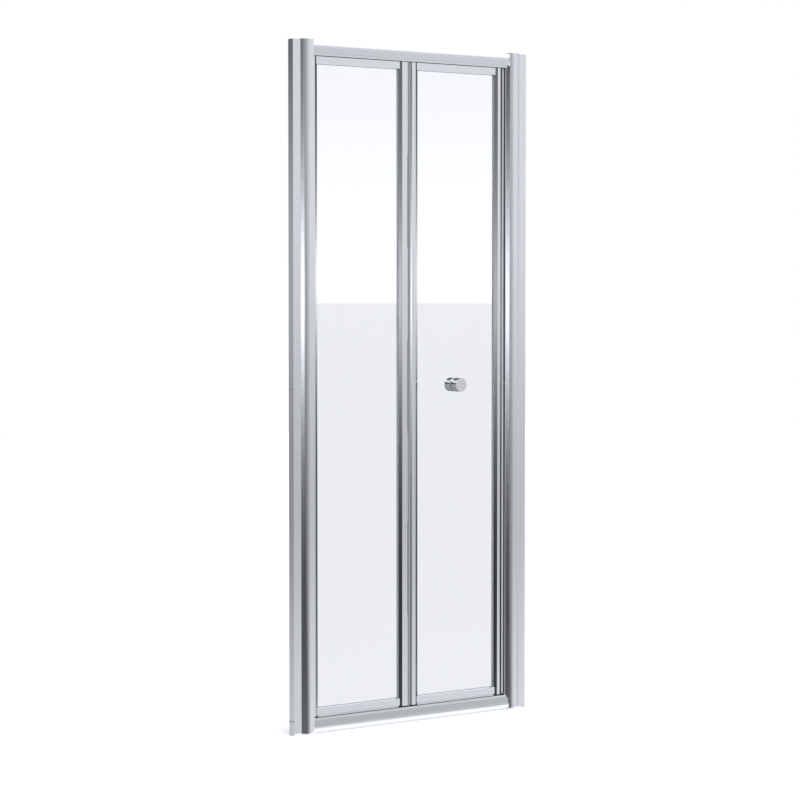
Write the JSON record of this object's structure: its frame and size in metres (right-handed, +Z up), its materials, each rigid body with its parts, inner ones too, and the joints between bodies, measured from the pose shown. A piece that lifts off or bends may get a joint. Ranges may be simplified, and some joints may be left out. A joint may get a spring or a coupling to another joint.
{
  "type": "bifold shower door",
  "caption": "Framed bifold shower door: two hinged glass panels that fold inwards, with wall channels, rounded posts, track rails, piano hinge, magnetic edge and round knobs.",
  "frame": {"origin": "bottom centre of the frame, on the mid-plane of the glass", "axes": "+X to the right seen from outside, -Y towards the room, +Y into the shower, +Z up"},
  "size_m": [0.8, 0.054, 1.8515],
  "materials": {
    "bright_aluminium": "bright silver anodised, semi-polished",
    "clear_glass": "clear toughened glass",
    "chrome": "polished chrome plate with a satin end face",
    "steel": "stainless steel",
    "white_nylon": "moulded white nylon",
    "dark_nylon": "moulded black nylon",
    "grey_seal": "soft grey sealing strip",
    "magnet_strip": "grey strip with a magnet core"
  },
  "bodies": {
    "frame": {"left_wall_channel": "bright_aluminium", "right_wall_channel": "bright_aluminium", "left_post": "bright_aluminium", "right_post": "bright_aluminium", "left_post_cap": "bright_aluminium", "right_post_cap": "bright_aluminium", "top_rail": "bright_aluminium", "bottom_rail": "bright_aluminium", "corner_screws": "steel", "left_adjuster_screws": "steel", "right_adjuster_screws": "steel", "left_screw_covers": "white_nylon", "right_screw_covers": "white_nylon", "post_wiper_seal": "grey_seal", "strike_profile": "bright_aluminium", "strike_magnet": "magnet_strip", "strike_screws": "steel", "strike_lock_screw": "steel", "bottom_pivot_seat": "dark_nylon", "top_pivot_seat": "dark_nylon", "pivot_seat_screws": "steel"},
    "pivot_panel": {"pivot_stile": "bright_aluminium", "pivot_fold_stile": "bright_aluminium", "pivot_top_profile": "bright_aluminium", "pivot_bottom_profile": "bright_aluminium", "pivot_glass": "clear_glass", "pivot_side_gaskets": "grey_seal", "pivot_end_gaskets": "grey_seal", "pivot_drip_seal": "grey_seal", "bottom_pivot_block": "dark_nylon", "top_pivot_block": "dark_nylon", "bottom_pivot_pin": "steel", "top_pivot_pin": "steel", "pivot_fold_blocks": "dark_nylon", "hinge_rod": "steel", "pivot_panel_screws": "steel"},
    "lead_panel": {"lead_fold_stile": "bright_aluminium", "closing_stile": "bright_aluminium", "lead_top_profile": "bright_aluminium", "lead_bottom_profile": "bright_aluminium", "lead_glass": "clear_glass", "lead_side_gaskets": "grey_seal", "lead_end_gaskets": "grey_seal", "lead_drip_seal": "grey_seal", "door_magnet": "magnet_strip", "bottom_guide_block": "dark_nylon", "top_guide_block": "dark_nylon", "bottom_guide_pin": "steel", "top_guide_pin": "steel", "lead_fold_blocks": "dark_nylon", "outer_knob": "chrome", "inner_knob": "chrome", "knob_stud": "steel", "knob_washers": "grey_seal", "lead_panel_screws": "steel"},
    "bottom_roller": {"bottom_guide_roller": "white_nylon"},
    "top_roller": {"top_guide_roller": "white_nylon"}
  },
  "joints": [
    {"name": "pivot_fold", "type": "hinge", "parent": "frame", "child": "pivot_panel", "pos_m": [-0.326, 0, 0.925], "axis": [0, 0, 1], "range_deg": [0, 78]},
    {"name": "centre_fold", "type": "hinge", "parent": "pivot_panel", "child": "lead_panel", "pos_m": [-0.01445, -0.009, 0.925], "axis": [0, 0, 1], "range_deg": [-156, 0]},
    {"name": "bottom_roller_spin", "type": "hinge", "parent": "lead_panel", "child": "bottom_roller", "pos_m": [0.2971, 0, 0.0347], "axis": [0, 0, 1], "continuous": true},
    {"name": "top_roller_spin", "type": "hinge", "parent": "lead_panel", "child": "top_roller", "pos_m": [0.2971, 0, 1.8173], "axis": [0, 0, 1], "continuous": true}
  ],
  "couplings": [
    {"joint": "centre_fold", "follows": "pivot_fold", "ratio": -2}
  ]
}
